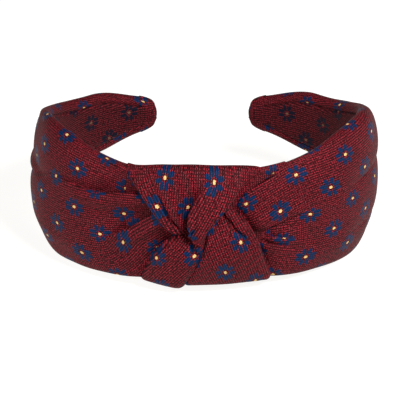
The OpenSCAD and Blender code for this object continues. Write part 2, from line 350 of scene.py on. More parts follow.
def waves(s, z, seed, size, count=7):
    """Soft unevenness of hand-laid cloth: a few long sine waves, between -1 and 1."""
    rng = np.random.default_rng(seed)
    total = np.zeros(np.shape(s))
    for _ in range(count):
        angle = rng.uniform(0, math.pi)
        pitch = rng.uniform(SHORTEST, LONGEST) * size
        phase = rng.uniform(0, 2 * math.pi)
        total = total + np.sin(2 * math.pi * (s * np.cos(angle) + z * np.sin(angle)) / pitch + phase)
    return total / count


# The cloth stands outside the hoop line, so it is this much longer than s.
STRETCH = 1.1


def printed(s, w, ds, dz, flower, heading=0.0):
    """UV of the print, in millimetres of cloth: a flower stands at the place flower, in (along, across), and
    its long petals point along the heading, in degrees. ds and dz move the print."""
    x = STRETCH * (s + ds) - flower[0]
    y = w + dz - flower[1]
    c, k = math.cos(math.radians(heading)), math.sin(math.radians(heading))
    return np.stack([x * c + y * k, y * c - x * k], -1)


# ---------------------------------------------------------------- meshes
def set_cloth_uv(mesh, uv):
    """The UV map of the print, from one u, v for each vertex."""
    layer = mesh.uv_layers.new(name="cloth")
    loops = np.empty(len(mesh.loops), int)
    mesh.loops.foreach_get("vertex_index", loops)
    layer.data.foreach_set("uv", uv[loops].astype(np.float32).ravel())


def add_object(mesh, material, flip=False):
    """The scene's object of a mesh, with the mesh's name. Its faces are turned over where flip is true."""
    if flip:
        mesh.flip_normals()
    mesh.update()
    obj = bpy.data.objects.new(mesh.name, mesh)
    bpy.context.scene.collection.objects.link(obj)
    mesh.materials.append(material)
    return obj


def grid_normals(p):
    """The unit normals of a surface given by a grid of points."""
    du = np.gradient(p, axis=0)
    dv = np.gradient(p, axis=1)
    n = np.cross(du, dv)
    return n / np.maximum(np.linalg.norm(n, axis=-1, keepdims=True), 1e-12)


def closed_mesh(name, outer, inner, uv, material, flip=False):
    """A closed mesh between two grids of points (mm), with u, v (mm of cloth) as its UV. Its two sides are
    smooth, and the walls round its edge are flat."""
    ni, nj = outer.shape[:2]
    verts = np.concatenate([outer.reshape(-1, 3), inner.reshape(-1, 3)]) * MM
    a = (np.arange(ni - 1)[:, None] * nj + np.arange(nj - 1)).ravel()
    top = np.stack([a, a + nj, a + nj + 1, a + 1], -1)
    low = top[:, ::-1] + ni * nj
    ring = np.concatenate([np.arange(nj - 1), np.arange(nj - 1, ni * nj - 1, nj),
                           np.arange(ni * nj - 1, (ni - 1) * nj, -1), np.arange((ni - 1) * nj, 0, -nj)])
    after = np.roll(ring, -1)
    wall = np.stack([ring, after, after + ni * nj, ring + ni * nj], -1)
    faces = np.concatenate([top, low, wall])
    mesh = bpy.data.meshes.new(name)
    mesh.from_pydata(verts.tolist(), [], faces.tolist())
    set_cloth_uv(mesh, np.concatenate([uv.reshape(-1, 2)] * 2))
    mesh.polygons.foreach_set("use_smooth", np.arange(len(faces)) < 2 * len(top))
    return add_object(mesh, material, flip)


def cloth_mesh(name, p, uv, thick, material, flip=False):
    """A closed sheet of the given thickness, its outer side on the grid of points p (mm)."""
    n = grid_normals(p) * (-1 if flip else 1)
    return closed_mesh(name, p, p - n * thick, uv, material, flip)


# ---------------------------------------------------------------- materials
# The colour sockets of a Mix node
MIX_A = 6
MIX_B = 7
MIX_RESULT = 2


class Nodes:
    """Small helpers that keep a node tree readable."""

    def __init__(self, tree):
        self.tree = tree

    def add(self, kind, **settings):
        node = self.tree.nodes.new(kind)
        for key, value in settings.items():
            setattr(node, key, value)
        return node

    def put(self, socket, value):
        if isinstance(value, bpy.types.NodeSocket):
            self.tree.links.new(value, socket)
        else:
            socket.default_value = value

    def math(self, operation, *values):
        node = self.add("ShaderNodeMath", operation=operation)
        for k, value in enumerate(values):
            self.put(node.inputs[k], value)
        return node.outputs[0]

    def mix(self, factor, a, b):
        node = self.add("ShaderNodeMix", data_type="RGBA")
        self.put(node.inputs["Factor"], factor)
        self.put(node.inputs[MIX_A], a)
        self.put(node.inputs[MIX_B], b)
        return node.outputs[MIX_RESULT]

    def line(self, value, slope, start):
        """value * slope + start"""
        return self.math("ADD", self.math("MULTIPLY", value, slope), start)

    def smoothstep(self, value, low, high):
        node = self.add("ShaderNodeMapRange", interpolation_type="SMOOTHSTEP")
        self.put(node.inputs["Value"], value)
        self.put(node.inputs["From Min"], low)
        self.put(node.inputs["From Max"], high)
        return node.outputs["Result"]

    def noise(self, vector, scale, detail):
        node = self.add("ShaderNodeTexNoise")
        self.put(node.inputs["Vector"], vector)
        self.put(node.inputs["Scale"], scale)
        self.put(node.inputs["Detail"], detail)
        return node.outputs["Fac"]

    def bump(self, height, strength, distance):
        node = self.add("ShaderNodeBump")
        node.inputs["Strength"].default_value = strength
        node.inputs["Distance"].default_value = distance
        self.put(node.inputs["Height"], height)
        return node.outputs["Normal"]


# The print, in millimetres of cloth: one flower at each point of a staggered lattice
ALONG = 23.8
ACROSS = 20.8
# The ovals of a quarter of a flower: the middle, the angle in degrees, and half the length and the width
LONG_PETAL = (3.15, 0.97, 6, 1.8, 0.88)
SIDE_PETAL = (1.3, 2.62, 66, 1.42, 0.95)
EYE = (0.0, 0.0, 0, 0.82, 0.6)
# How square an oval is along and across, and where its soft edge starts and ends
OVAL_LONG_POWER = 2.6
OVAL_WIDE_POWER = 2.0
OVAL_EDGE = (0.8, 1.15)

# The weave: its pitch, and the scale for each millimetre and the detail of its three kinds of unevenness
WEAVE = 0.98
THREAD_NOISE = (0.9, 3.0)
SPECK_NOISE = (1.25, 1.0)
BROAD_NOISE = (0.06, 2.0)
# The values between which each feature of the weave comes in
GAPS = (-0.05, -0.65)
FLOATS = (0.3, 1.5)
PATCHES = (0.35, 0.62)
# The bright specks are painted glints of the threads' sheen
PAINTED_GLINT_SPECKS = (0.56, 0.72)
DARK_SPECKS = (0.47, 0.32)
WORN = (0.4, 0.75)
# The tones of the ground, 0 to 255, for a light of 1
DARK_TONE = (2, 0, 1)
MID_TONE = (62, 8, 13)
BRIGHT_TONE = (164, 40, 54)
WORN_TONE = (38, 6, 11)


def rgb(r, g, b):
    """A colour given as it is seen on a screen, 0 to 255, as linear light."""
    def line(c):
        c = c / 255
        return c / 12.92 if c <= 0.04045 else ((c + 0.055) / 1.055) ** 2.4
    return (line(r), line(g), line(b), 1.0)


def oval(n, x, y, cx, cy, angle, half_long, half_wide):
    """1 inside an oval, 0 outside, with a soft edge."""
    c, s = math.cos(math.radians(angle)), math.sin(math.radians(angle))
    dx = n.math("SUBTRACT", x, cx)
    dy = n.math("SUBTRACT", y, cy)
    a = n.math("ADD", n.math("MULTIPLY", dx, c / half_long), n.math("MULTIPLY", dy, s / half_long))
    b = n.math("SUBTRACT", n.math("MULTIPLY", dy, c / half_wide), n.math("MULTIPLY", dx, s / half_wide))
    along = n.math("POWER", n.math("ABSOLUTE", a), OVAL_LONG_POWER)
    across = n.math("POWER", n.math("ABSOLUTE", b), OVAL_WIDE_POWER)
    return n.math("SUBTRACT", 1.0, n.smoothstep(n.math("ADD", along, across), *OVAL_EDGE))


def flower(n, u, v):
    """Masks of the eight petals and the centre of the flower at the origin of u, v."""
    x = n.math("ABSOLUTE", u)
    y = n.math("ABSOLUTE", v)
    petals = n.math("MAXIMUM", oval(n, x, y, *LONG_PETAL), oval(n, x, y, *SIDE_PETAL))
    return petals, oval(n, x, y, *EYE)


def flower_masks(n, u, v):
    """Masks of the petals and the centres of all the flowers of the lattice."""
    masks = []
    for shift in (0.0, 0.5):
        uu = n.math("WRAP", n.math("ADD", u, shift * ALONG), ALONG / 2, -ALONG / 2)
        vv = n.math("WRAP", n.math("ADD", v, shift * ACROSS), ACROSS / 2, -ACROSS / 2)
        masks.append(flower(n, uu, vv))
    return (n.math("MAXIMUM", masks[0][0], masks[1][0]), n.math("MAXIMUM", masks[0][1], masks[1][1]))


def weave_ground(n, uv, gaps, floats, uneven, light):
    """The colour of the ground: dark gaps between bright floats of thread, with bright specks that are
    painted glints of the threads' sheen, dark specks and worn patches.
    """
    dark, mid, bright, worn = (rgb(*(c * light for c in tone))
                               for tone in (DARK_TONE, MID_TONE, BRIGHT_TONE, WORN_TONE))
    patchy = n.smoothstep(uneven, *PATCHES)
    specks = n.noise(uv, *SPECK_NOISE)
    broad = n.noise(uv, *BROAD_NOISE)
    ground = n.mix(n.math("MULTIPLY", floats, n.line(patchy, 0.5, 0.45)), mid, bright)
    ground = n.mix(n.math("MULTIPLY", gaps, n.line(patchy, 0.3, 0.65)), ground, dark)
    # Bright specks: painted glints of the threads' sheen
    ground = n.mix(n.math("MULTIPLY", n.smoothstep(specks, *PAINTED_GLINT_SPECKS), 0.45), ground, bright)
    ground = n.mix(n.math("MULTIPLY", n.smoothstep(specks, *DARK_SPECKS), 0.85), ground, dark)
    return n.mix(n.math("MULTIPLY", n.smoothstep(broad, *WORN), 0.2), ground, worn)


def new_material(name):
    """A new material, the helpers for its node tree and its shader."""
    material = bpy.data.materials.new(name)
    material.use_nodes = True
    return material, Nodes(material.node_tree), material.node_tree.nodes["Principled BSDF"]


def fabric(name, light, navy_dark, navy_light, centre):
    """Woven jacquard: a fine dotted weave with small flowers woven in."""
    material, n, shader = new_material(name)
    uv = n.add("ShaderNodeUVMap", uv_map="cloth").outputs["UV"]
    split = n.add("ShaderNodeSeparateXYZ")
    n.put(split.inputs[0], uv)
    u, v = split.outputs[0], split.outputs[1]
    petals, centres = flower_masks(n, u, v)
    wave_u = n.math("COSINE", n.math("MULTIPLY", u, 2 * math.pi / WEAVE))
    wave_v = n.math("COSINE", n.math("MULTIPLY", v, 2 * math.pi / WEAVE))
    both = n.math("MULTIPLY", n.math("ADD", wave_u, wave_v), 0.5)
    gaps = n.smoothstep(both, *GAPS)
    floats = n.smoothstep(n.math("SUBTRACT", wave_v, wave_u), *FLOATS)
    uneven = n.noise(uv, *THREAD_NOISE)

    ground = weave_ground(n, uv, gaps, floats, uneven, light)
    thread = n.line(wave_v, 0.35, 0.5)
    navy = n.mix(n.math("MULTIPLY", thread, uneven), rgb(*navy_dark), rgb(*navy_light))
    colour = n.mix(petals, ground, navy)
    colour = n.mix(centres, colour, rgb(*centre))
    n.put(shader.inputs["Base Color"], colour)

    height = n.math("SUBTRACT", n.math("MULTIPLY", floats, 0.6), gaps)
    height = n.math("ADD", height, n.math("MULTIPLY", n.math("MAXIMUM", petals, centres), 0.8))
    height = n.math("ADD", height, n.math("MULTIPLY", uneven, 0.5))
    n.put(shader.inputs["Normal"], n.bump(height, strength=0.55, distance=0.00018))
    n.put(shader.inputs["Roughness"], n.math("SUBTRACT", 0.66, n.math("MULTIPLY", petals, 0.14)))
    shader.inputs["Specular IOR Level"].default_value = 0.06
    shader.inputs["Sheen Weight"].default_value = 0.02
    shader.inputs["Sheen Roughness"].default_value = 0.4
    shader.inputs["Sheen Tint"].default_value = (1.0, 0.75, 0.75, 1.0)
    return material


def plain(name, dark, light, scale, roughness, depth):
    """A mottled material with fine bumps, for the wadding, the plastic and the thread."""
    material, n, shader = new_material(name)
    where = n.add("ShaderNodeTexCoord").outputs["Object"]
    grain = n.noise(where, scale, 6.0)
    n.put(shader.inputs["Base Color"], n.mix(n.smoothstep(grain, 0.3, 0.7), rgb(*dark), rgb(*light)))
    shader.inputs["Roughness"].default_value = roughness
    shader.inputs["Specular IOR Level"].default_value = 0.2
    n.put(shader.inputs["Normal"], n.bump(grain, strength=0.5, distance=depth))
    return material


COVER_CLOTH = fabric("cover_fabric", 0.87, (0, 14, 36), (2, 46, 92), (184, 152, 98))
# The lining's cloth is the cover's cloth made darker, with dimmer flowers: painted shade of the band's
# inside.
SHADED_LINING_CLOTH = fabric("lining_fabric", 0.72, (6, 5, 16), (10, 16, 38), (84, 58, 44))
WADDING = plain("wadding", (214, 208, 196), (240, 236, 226), 900, 0.95, 0.0006)
PLASTIC = plain("hoop_plastic", (206, 205, 203), (222, 221, 219), 400, 0.38, 0.00005)
THREAD = plain("thread", (88, 16, 28), (120, 28, 40), 4000, 0.6, 0.0001)

# ---------------------------------------------------------------- the side panels
THICK = 0.45
COLUMNS = 300
# The plastic hoop's outer face, how far inside the band's edge it ends, and the cloth's distance from it
HOOP_OUT = 0.8
HOOP_INSET = 3.0
COVER_CLEAR = 0.8
# How uneven the panels are, and over what length
PANEL_UNEVEN = 0.3
PANEL_WAVE = 26.0
LEFT_SEED = 11
RIGHT_SEED = 12
# The panel's face ends this far inside the turn of the rim, where only its face goes on
FACE_MARGIN = 2.0

# The folds: the points are (s, z) on the band
LEFT_CREASES = [
    Crease([(-18, 46.3), (-27.4, 46), (-36.8, 43.9), (-44.1, 42.7), (-50, 42.5), (-60, 43.7), (-72, 43.5)],
           depth=4.6, soft=7.0, ridge=2.4, ridge_w=2.8, fade=(0.35, 1.0), dart=(8, 8), slip=(0, 1.6),
           reach=5.0, lap=1.3),
    Crease([(-50, 43), (-66, 43.5), (-80, 38), (-100, 30), (-125, 25)], depth=1.7, soft=5.0, sharp=3.5,
           rise=0.5, fade=(0.75, 1.0)),
    Crease([(-12, 43), (-20.4, 37.7), (-26.3, 32.8), (-31.3, 29.2), (-38.4, 24.7), (-44.1, 22)],
           depth=4.6, soft=5.2, ridge=2.5, ridge_w=3.0, fade=(0.5, 1.0), dart=(30, 3), slip=(0.6, -5.3),
           lap=1.5),
    Crease([(-20, 17), (-27, 12.5), (-36, 7), (-46, 5)], depth=0.9, soft=2.5, sharp=1.2, fade=(0.3, 1.0)),
    Crease([(-9, 30), (-12.7, 27.9), (-15.9, 25.2), (-19.6, 20.9), (-22.7, 15), (-26, 7.9)], depth=2.8,
           soft=2.6, sharp=2.4, fade=(0.9, 1.2)),
]
RIGHT_CREASES = [
    Crease([(18, 28), (21.6, 29.7), (29.8, 32.3), (37.6, 33.7), (46.1, 33.7)],
           depth=3.2, soft=3.6, ridge=1.1, ridge_w=2.6, fade=(0.35, 1.0), dart=(16, 8), lap=1.2),
    Crease([(17.5, 28), (22.1, 27.1), (27.4, 25.6), (34.3, 23.7), (42.6, 22.2)], depth=2.2, soft=1.8,
           high="right", ridge=0.8, ridge_w=1.3, fade=(0.2, 1.0), dart=(6, 6), lap=0.7),
    Crease([(18, 25), (22.5, 23.7), (27.5, 21.9), (34.5, 19.8), (41.9, 18.8)], depth=2.6, soft=1.7,
           high="right", ridge=1.0, ridge_w=1.6, fade=(0.2, 1.0), dart=(6, 6), lap=0.8),
    Crease([(24.5, 60), (20.8, 54.8), (15.2, 51.3), (10.1, 44.2), (7.1, 39.5)],
           depth=3.8, soft=3.2, sharp=3.0, fade=(0.9, 1.2)),
    Crease([(10.6, 41.4), (15.2, 35.9), (18.6, 30.2), (21.2, 23.7), (22.9, 17.8), (25.2, 11.5), (27.1, 6.2)],
           depth=2.8, soft=2.4, sharp=2.4, fade=(0.9, 1.2)),
    Crease([(56, 37), (70, 38), (85, 37.5), (99, 36), (128, 34)],
           depth=1.6, soft=4.5, sharp=3.5, rise=0.4, fade=(0.75, 1.0)),
    Crease([(56, 16), (70, 15.5), (85, 14.5), (98, 14), (124, 14)],
           depth=0.9, soft=4.0, sharp=3.0, rise=0.4, fade=(0.75, 1.0)),
]


def panel_face(s, w, creases, seed):
    """How far the panel's face stands off its section at s, w, and how far the creases move the print and the
    cloth itself."""
    z = PANEL.at(s, w)[1]
    drop, ds, dz, move_s, move_z = press_all(creases, s, z)
    face = smooth((PANEL.rim(s) + 1.5 - np.abs(w)) / 4)
    lift = PANEL_UNEVEN * waves(s, z, seed, PANEL_WAVE) - drop
    return lift * face, ds, dz, move_s * face, move_z * face


def clear_of_hoop(s, w, o, z):
    """Keeps the face of a panel outside the plastic hoop, however deep its creases are."""
    over_hoop = (np.abs(w) < PANEL.rim(s)) & (np.abs(z - MID_Z) < half_width(s) - HOOP_INSET)
    return np.where(over_hoop, np.maximum(o, HOOP_OUT + COVER_CLEAR), o)


def drawn_in(s, w):
    """How far the rims draw in: the lower one on the way to the widest place, the upper one by the knot. The
    flange stays at the hoop."""
    lower = ramp(np.abs(s), 34, 62, 0, 1.1) * ramp(np.abs(s), 100, 125, 1, 0) * smooth((-w - 16) / 10)
    upper = ramp(np.abs(s), 26, 34, 0, 1.2) * ramp(np.abs(s), 46, 66, 1, 0) * smooth((w - 16) / 10)
    return (lower + upper) * smooth((PANEL.rim(s) + 5 - np.abs(w)) / 3)


# A flower's place on each piece, along and across
LEFT_FLOWER = (-62.5, 21)
RIGHT_FLOWER = (49, 22.9)
SLEEVE_FLOWER = (31, 22)


def right_rise(s, w):
    """The upper half of the right panel is pulled up a little."""
    return ramp(s, 28, 58, 0, 3.1) * ramp(w, -10, 12, 0, 1)


def arm_stations(start):
    """Places along the band from start to the tip, closer together where the folds are."""
    folds_end = 60
    return np.concatenate([np.arange(start, folds_end, 0.4), np.arange(folds_end, S_TIP, 0.9), [S_TIP]])


def left_cover():
    """The left panel. Near the knot only its face goes on, in under the strands."""
    s, t = np.meshgrid(-arm_stations(4.0), np.linspace(-1, 1, COLUMNS), indexing="ij")
    end, face_only = PANEL.end(s), PANEL.rim(s) - FACE_MARGIN
    high = ramp(s, -32, -25, end, face_only)
    low = -ramp(s, -24, -17, end, face_only)
    w = low + (high - low) * (t + 1) / 2
    d, ds, dz, move_s, move_w = panel_face(s, w, LEFT_CREASES, LEFT_SEED)
    under_knot = ramp(s, -13, -8, 0, 2.4)
    flat = ramp(-s, 72, 92, 0, 1) * ramp(-s, 108, 135, 1, 0) * smooth((w - 2) / 6)
    flat = 1.9 * flat * smooth((PANEL.rim(s) + 2 - w) / 8)
    o, z = PANEL.at(s + move_s, w + move_w, d - under_knot - flat - drawn_in(s, w))
    o = clear_of_hoop(s, w, o, z)
    uv = printed(s, w, ds, dz, LEFT_FLOWER)
    return cloth_mesh("cover_left", place(s + move_s, o, z), uv, THICK, COVER_CLOTH, flip=True)


def right_cover():
    """The right panel. Near the knot its upper edge runs down from the rim, over the fabric behind it."""
    s, t = np.meshgrid(arm_stations(6.0), np.linspace(-1, 1, COLUMNS), indexing="ij")
    edge = curve([(4, 30), (10.5, 41.3), (12.9, 44.7), (16.3, 48), (21.4, 50.7), (26.4, 53.4), (30.5, 55.6)])
    edge_z = np.interp(s, edge[:, 0], edge[:, 1])
    edge_w = PANEL.w_of(s, np.minimum(edge_z, MID_Z + half_width(s) - 0.01))
    high = ramp(s, 29, 40, edge_w, PANEL.end(s))
    low = -ramp(s, 18, 26, PANEL.rim(s) - FACE_MARGIN, PANEL.end(s))
    w = low + (high - low) * (t + 1) / 2
    d, ds, dz, move_s, move_w = panel_face(s, w, RIGHT_CREASES, RIGHT_SEED)
    dz = dz + right_rise(s, w)
    from_edge = high - w
    free = ramp(s, 29, 33, 1, 0)
    roll = 0.5 * np.exp(-((from_edge - 2.5) / 2.2) ** 2)
    turned_in = 2.4 * smooth(1 - from_edge / 1.7) ** 2
    o, z = PANEL.at(s + move_s, w + move_w, d + free * (roll - turned_in) - drawn_in(s, w))
    o = clear_of_hoop(s, w, o, z)
    uv = printed(s, w, ds, dz, RIGHT_FLOWER)
    return cloth_mesh("cover_right", place(s + move_s, o, z), uv, THICK, COVER_CLOTH)


def sleeve():
    """The fabric wrapped straight round the hoop behind the knot, close under the panels and the strands."""
    s, t = np.meshgrid(np.arange(-33.0, 34.5, 0.8), np.linspace(-1, 1, COLUMNS // 2), indexing="ij")
    w = t * (SLEEVE.end(s) - 1.0)
    o, z = SLEEVE.at(s, w, 0.15 * waves(s, w, 5, 20.0) - 0.55)
    uv = printed(s, w, 0, 0, SLEEVE_FLOWER, heading=90)
    return cloth_mesh("crown_sleeve_cloth", place(s, o, z), uv, THICK, COVER_CLOTH)


# ---------------------------------------------------------------- the knot
# The strands lie on the face up to this far from mid-height, and past it they go on round the rim
RIM_RISE = 25.75
# How far the strands' edges are tucked in, and how far off the section they lie past the rims
EDGE_TUCK = 0.6
FLANGE_LIFT = 0.35
FAN_SHARE = 0.5


def near_lattice(offset, reach=8):
    """The step of the print's lattice that is nearest to the offset."""
    steps = range(-reach, reach + 1)
    lattice = [np.array([i * ALONG / 2, j * ACROSS / 2]) for i in steps for j in steps if (i + j) % 2 == 0]
    return min(lattice, key=lambda step: float(np.hypot(*(offset - step))))


def tuck(gap, radius):
    """1 on the edge of a strand, falling to 0 on a round of the given radius."""
    return 1 - np.sqrt(1 - (1 - np.clip(gap / radius, 0, 1)) ** 2)


def edge_tuck(s, z, line, radius):
    return tuck(np.abs(near_line(s, z, line)[0]), radius)


class Print:
    """Where the print lies on a strand: a flower's place, and the heading of its long petals."""

    def __init__(self, flower, heading):
        self.flower, self.heading = flower, heading

    def uv(self, s, w, ds, dz):
        return printed(s, w, ds, dz, self.flower, self.heading)


FAN_PRINT = Print((-17.3, 22.9), 90)
LOBE_PRINT = Print((-20.2, -10.9), 49.5)
UNDER_PRINT = Print((13.8, -3.2), 112)


def lay_on_band(left_edge, right_edge, rows, cols=160):
    """A grid between two edge lines of (s, z): q, the share along it, p, the share across it, and s, z, w and
    the length past the rims."""
    left, right = curve(left_edge, rows), curve(right_edge, rows)
    p = (1 - np.cos(math.pi * np.linspace(0, 1, cols))) / 2
    q, p = np.meshgrid(np.linspace(0, 1, rows), p, indexing="ij")
    s = left[:, None, 0] * (1 - p) + right[:, None, 0] * p
    z = left[:, None, 1] * (1 - p) + right[:, None, 1] * p
    past = np.maximum(np.abs(z - MID_Z) - RIM_RISE, 0)
    w = PANEL.w_of(s, np.clip(z, MID_Z - RIM_RISE, MID_Z + RIM_RISE))
    return q, p, s, z, w + np.sign(w) * past, past


def strand(name, grid, edge, height, uv, move, lowest=-0.3):
    """A strand of the knot on its grid: its edges tuck in, and past the rims it lies flat on the flange."""
    s, z, w, past = grid[2:]
    full = np.maximum(height + 0.2 * waves(s, z, 21, 18.0), lowest)
    d = full * (1 - edge) - EDGE_TUCK * edge
    inside = smooth((past - 2) / 3)
    drawn = ramp(np.abs(s), 16, 31, 0, 1.0) * smooth((w - 16) / 10)
    move_s, move_w = (m * smooth((3 - past) / 3) * (1 - edge) for m in move)
    o, z = PANEL.at(s + move_s, w + move_w, d * (1 - inside) + FLANGE_LIFT * inside - drawn)
    return cloth_mesh(name, place(s + move_s, o, z), uv, THICK, COVER_CLOTH)


def over_strand():
    """From the top rim it fans down and gathers to the pinch, then opens into the lower left lobe. Its left
    edge runs in to the pinch and back out again."""
    left = [(-33, 64), (-32.6, 56.8), (-30.6, 51.8), (-26.3, 47.1), (-20.6, 39.5), (-16.2, 33.7),
            (-12.9, 30.7), (-9.5, 29.9), (-6.8, 29.7), (-5.2, 29.5), (-6.8, 29.7), (-9.5, 29.8),
            (-12.7, 27.9), (-15.9, 25.2), (-19.6, 20.9), (-22.7, 15), (-26, 7.9), (-28, 3), (-29, -3)]
    right = [(24, 64), (23.7, 58.1), (20.8, 54.8), (15.2, 51.3), (10.1, 44.2), (5.5, 37.7), (2.4, 33.8),
             (1.2, 32.2), (0.7, 31.1), (0.4, 30), (0.3, 28.7), (0.2, 26.8), (-0.1, 24.2), (-0.9, 20.6),
             (-2.8, 15.5), (-5.2, 10.5), (-8, 5.5), (-9.2, 2), (-9.6, -3)]
    grid = lay_on_band(left, right, 230)
    q, p, s, z, w = grid[:5]
    fan_q, lobe_q = q / FAN_SHARE, (q - FAN_SHARE) / (1 - FAN_SHARE)
    fan_creases = [
        Crease([(-5.3, 29.6), (-7.8, 31.6), (-11.5, 36.4), (-14.2, 40.8), (-16.1, 44), (-18.2, 48),
                (-20.5, 53), (-22, 57)], depth=3.0, soft=2.4, high="right", ridge=0.8, ridge_w=1.4,
               fade=(0.35, 0.8), dart=(32, 0), lap=0.8),
        Crease([(-5.2, 29.7), (-7.4, 33.5), (-9.4, 38.5), (-10.6, 43.5)], depth=0.9, soft=1.6, sharp=0.8,
               fade=(0.2, 1.0)),
        Crease([(-5.1, 29.8), (-6, 31.9), (-6.8, 34.8), (-6.8, 38.6), (-6, 41.7), (-4.1, 45.7), (-1.6, 49.9),
                (0.1, 52.9)], depth=5.8, soft=3.4, high="right", ridge=1.7, ridge_w=2.6, fade=(0.6, 1.0),
               dart=(-3, 26), lap=0.7),
        Crease([(-4.9, 29.8), (-4.6, 32.9), (-3.7, 35.5), (-2, 38.4)], depth=2.0, soft=1.5, ridge=0.4,
               ridge_w=0.8, fade=(0.3, 1.0), lap=0.4),
        Crease([(-3.4, 30), (0.5, 36), (4.5, 43)], depth=0.8, soft=2.0, sharp=1.2, fade=(0.2, 1.0)),
    ]
    lobe_creases = [
        Crease([(-4.6, 28.6), (-9, 24), (-13, 17), (-15.5, 11)], depth=0.9, soft=2.0, sharp=1.2,
               fade=(0.3, 1.0)),
        Crease([(-3.6, 28.4), (-5, 23), (-8, 17)], depth=0.8, soft=1.6, sharp=1.0, fade=(0.2, 1.0)),
    ]
    fan_drop, fan_ds, fan_dz, *fan_move = press_all(fan_creases, s, z)
    lobe_drop, lobe_ds, lobe_dz = press_all(lobe_creases, s, z)[:3]
    rim = 1.9 * (1 - (2 * p - 1) ** 2) * ramp(fan_q, 0.1, 0.4, 1, 0)
    height = ramp(fan_q, 0.06, 0.6, 0.1, 5.5) + rim - ramp(lobe_q, 0.4, 0.85, 0, 4.9 - 2.4 * p)
    round_right = ramp(q, 0.44, 0.6, 2.8, 4.5)
    edge = np.maximum(edge_tuck(s, z, left, 2.1), edge_tuck(s, z, right, round_right))
    fan, lobe = FAN_PRINT.uv(s, w, fan_ds, fan_dz), LOBE_PRINT.uv(s, w, lobe_ds, lobe_dz)
    turn = smooth((q - 0.43) / 0.14)[..., None]
    joint = (q.shape[0] // 2, q.shape[1] * 3 // 4)
    shift = near_lattice(fan[joint] - lobe[joint])
    return strand("knot_over_strand_cloth", grid, edge, height - fan_drop - lobe_drop,
                  fan * (1 - turn) + (lobe + shift) * turn, fan_move, ramp(s, -13, -8, -0.3, -1.8))


def under_strand():
    """From under the fan it opens into the lower right lobe and turns under the lower rim."""
    left = [(-3, 35), (-0.8, 30.5), (-0.9, 25.9), (-1.7, 22.5), (-3.5, 17.9), (-5.8, 11.9), (-8.9, 5.5),
            (-10, 2), (-10.5, -3)]
    right = [(5, 46), (10.6, 41.4), (15.2, 35.9), (18.6, 30.2), (21.2, 23.7), (22.9, 17.8), (25.2, 11.5),
             (27.1, 6.2), (28, -3)]
    grid = lay_on_band(left, right, 150)
    q, _, s, z, w = grid[:5]
    creases = [
        Crease([(5.4, 42), (7.4, 39.4), (9.4, 37.1), (11.3, 34), (13.2, 31.7), (15, 29), (17, 25)],
               depth=2.4, soft=2.0, ridge=0.4, ridge_w=1.2, fade=(0.5, 1.0), dart=(4, 4), lap=0.7),
        Crease([(2.5, 37), (4.7, 33.3), (6.8, 25.9), (9, 18.8)], depth=1.0, soft=2.4, sharp=1.8,
               fade=(0.3, 1.0)),
    ]
    drop, ds, dz, *move = press_all(creases, s, z)
    height = ramp(q, 0, 0.3, 1.8, 4.7) - ramp(q, 0.4, 0.85, 0, 4.0)
    edge = np.maximum(edge_tuck(s, z, left, 1.8), edge_tuck(s, z, right, 1.8))
    return strand("knot_under_strand_cloth", grid, edge, height - drop, UNDER_PRINT.uv(s, w, ds, dz), move)


# ---------------------------------------------------------------- the inside
# The lining, the wadding and the stitches: o is the distance outwards from the hoop line, and an inset is
# how far inside the band's edge a piece ends or lies
LINING_O = -3.15
LINING_INSET = 4.3
LINING_THICK = 0.3
LINING_LEFT_FLOWER = (-66, 3)
LINING_RIGHT_FLOWER = (60, 3)
PADDING_MARGIN = 4.0
STITCH_PITCH = 6.0
STITCH_LONG = 2.6
STITCH_R = 0.17
STITCH_O = -3.02
STITCH_INSET = 5.1
STITCH_RINGS = 7
STITCH_SIDES = 8


def side_name(stem, left):
    return stem + ("_left" if left else "_right")


def lining(left):
    """Half of the lining. The prints of the two halves are drawn together, so they meet in the middle."""
    s, t = np.meshgrid(np.linspace(0, S_TIP - 2, 190), np.linspace(-1, 1, 70), indexing="ij")
    s = -s if left else s
    in_tip = np.maximum(half_width(s) * tip_round(s) - 2.5, 0.5)
    half = np.minimum(half_width(s) - LINING_INSET, in_tip)
    z = MID_Z + t * half
    o = LINING_O + tuck(half * (1 - np.abs(t)), 2.0) + 0.08 * waves(s, z, 31, 22.0)
    joined = ramp(np.abs(s), 0, 60, 3.5 / STRETCH, 0) * (-1 if left else 1)
    uv = printed(s, z - MID_Z, joined, 0, LINING_LEFT_FLOWER if left else LINING_RIGHT_FLOWER)
    return cloth_mesh(side_name("lining", left), place(s, o, z), uv, LINING_THICK, SHADED_LINING_CLOTH, flip=left)


def padding(left):
    """The wadding between the hoop and the face, pressed in by the same creases."""
    s = np.linspace(S_KNOT_SIDE, S_TIP - TIP_CORNER, 130)
    s, t = np.meshgrid(s, np.linspace(-1, 1, 60), indexing="ij")
    s = -s if left else s
    w = t * (PANEL.rim(s) - 3.0)
    creases, seed = (LEFT_CREASES, LEFT_SEED) if left else (RIGHT_CREASES, RIGHT_SEED)
    d = panel_face(s, w, creases, seed)[0]
    o, z = PANEL.at(s, w, np.minimum(d, 0) - drawn_in(s, w) - PADDING_MARGIN)
    inner = place(s, HOOP_OUT + 0.05, z)
    outer = place(s, np.maximum(o, HOOP_OUT + 0.15), z)
    uv = np.stack([s, w], -1)
    return closed_mesh(side_name("padding", left), outer, inner, uv, WADDING, flip=left)


